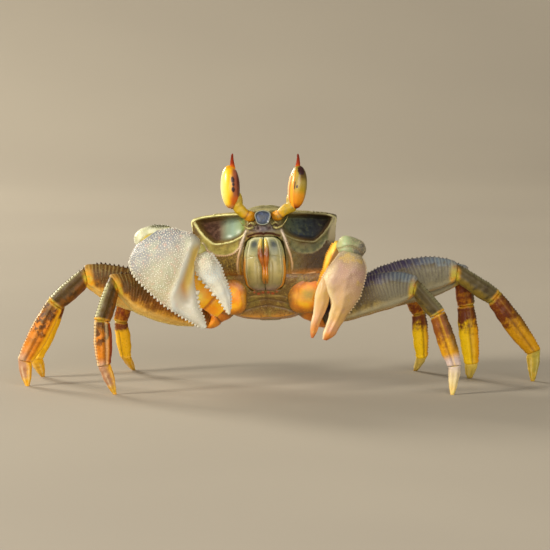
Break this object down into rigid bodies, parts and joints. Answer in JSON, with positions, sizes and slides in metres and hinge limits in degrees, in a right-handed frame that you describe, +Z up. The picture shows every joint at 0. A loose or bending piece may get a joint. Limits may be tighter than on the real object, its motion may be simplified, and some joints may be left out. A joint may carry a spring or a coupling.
{
  "type": "ghost crab model",
  "caption": "Life-size still model of a horned ghost crab standing tall on its toe tips, with one large pale claw, a smaller claw and upright horned eyes.",
  "frame": {"origin": "middle of the whole crab's box, at floor level under the toe tips", "axes": "+Z up; the crab faces -Y, its own left side is at +X and the leg span lies along X"},
  "size_m": [0.2168, 0.094, 0.0978],
  "materials": {
    "shell": "satin olive shell, granular on the cheeks and flanks",
    "belly": "satin ochre underside",
    "mouth_plate": "satin olive plate, slate at its top",
    "mouth_palp": "satin yellow with a red-orange middle",
    "eyestalk": "satin yellow-olive skin",
    "cornea": "glossy amber and pale yellow",
    "horn": "dark orange-red horn",
    "claw_arm": "satin amber joint skin and arm",
    "large_claw": "ivory, densely granular",
    "small_claw": "blush ivory, finely granular",
    "leg_merus": "brown-olive, finely ridged across",
    "leg_carpus": "olive with a yellow joint ring",
    "leg_propodus": "ochre to yellow with dark blotches above",
    "leg_dactyl": "pale, fluted toe"
  },
  "bodies": {
    "root": {"abdomen": "belly", "carapace": "shell", "claw_L_arm": "claw_arm", "claw_L_coxa": "claw_arm", "claw_L_finger": "small_claw", "claw_L_palm": "small_claw", "claw_L_wrist": "small_claw", "claw_R_arm": "claw_arm", "claw_R_coxa": "claw_arm", "claw_R_finger": "large_claw", "claw_R_palm": "large_claw", "claw_R_wrist": "large_claw", "eye_L": "cornea", "eye_R": "cornea", "eyestalk_L": "eyestalk", "eyestalk_R": "eyestalk", "horn_L": "horn", "horn_R": "horn", "leg_L1_carpus": "leg_carpus", "leg_L1_dactyl": "leg_dactyl", "leg_L1_merus": "leg_merus", "leg_L1_propodus": "leg_propodus", "leg_L2_carpus": "leg_carpus", "leg_L2_dactyl": "leg_dactyl", "leg_L2_merus": "leg_merus", "leg_L2_propodus": "leg_propodus", "leg_L3_carpus": "leg_carpus", "leg_L3_dactyl": "leg_dactyl", "leg_L3_merus": "leg_merus", "leg_L3_propodus": "leg_propodus", "leg_L4_carpus": "leg_carpus", "leg_L4_dactyl": "leg_dactyl", "leg_L4_merus": "leg_merus", "leg_L4_propodus": "leg_propodus", "leg_R1_carpus": "leg_carpus", "leg_R1_dactyl": "leg_dactyl", "leg_R1_merus": "leg_merus", "leg_R1_propodus": "leg_propodus", "leg_R2_carpus": "leg_carpus", "leg_R2_dactyl": "leg_dactyl", "leg_R2_merus": "leg_merus", "leg_R2_propodus": "leg_propodus", "leg_R3_carpus": "leg_carpus", "leg_R3_dactyl": "leg_dactyl", "leg_R3_merus": "leg_merus", "leg_R3_propodus": "leg_propodus", "leg_R4_carpus": "leg_carpus", "leg_R4_dactyl": "leg_dactyl", "leg_R4_merus": "leg_merus", "leg_R4_propodus": "leg_propodus", "maxilliped_L": "mouth_plate", "maxilliped_R": "mouth_plate", "palp_L": "mouth_palp", "palp_R": "mouth_palp", "thorax": "belly"}
  },
  "joints": []
}
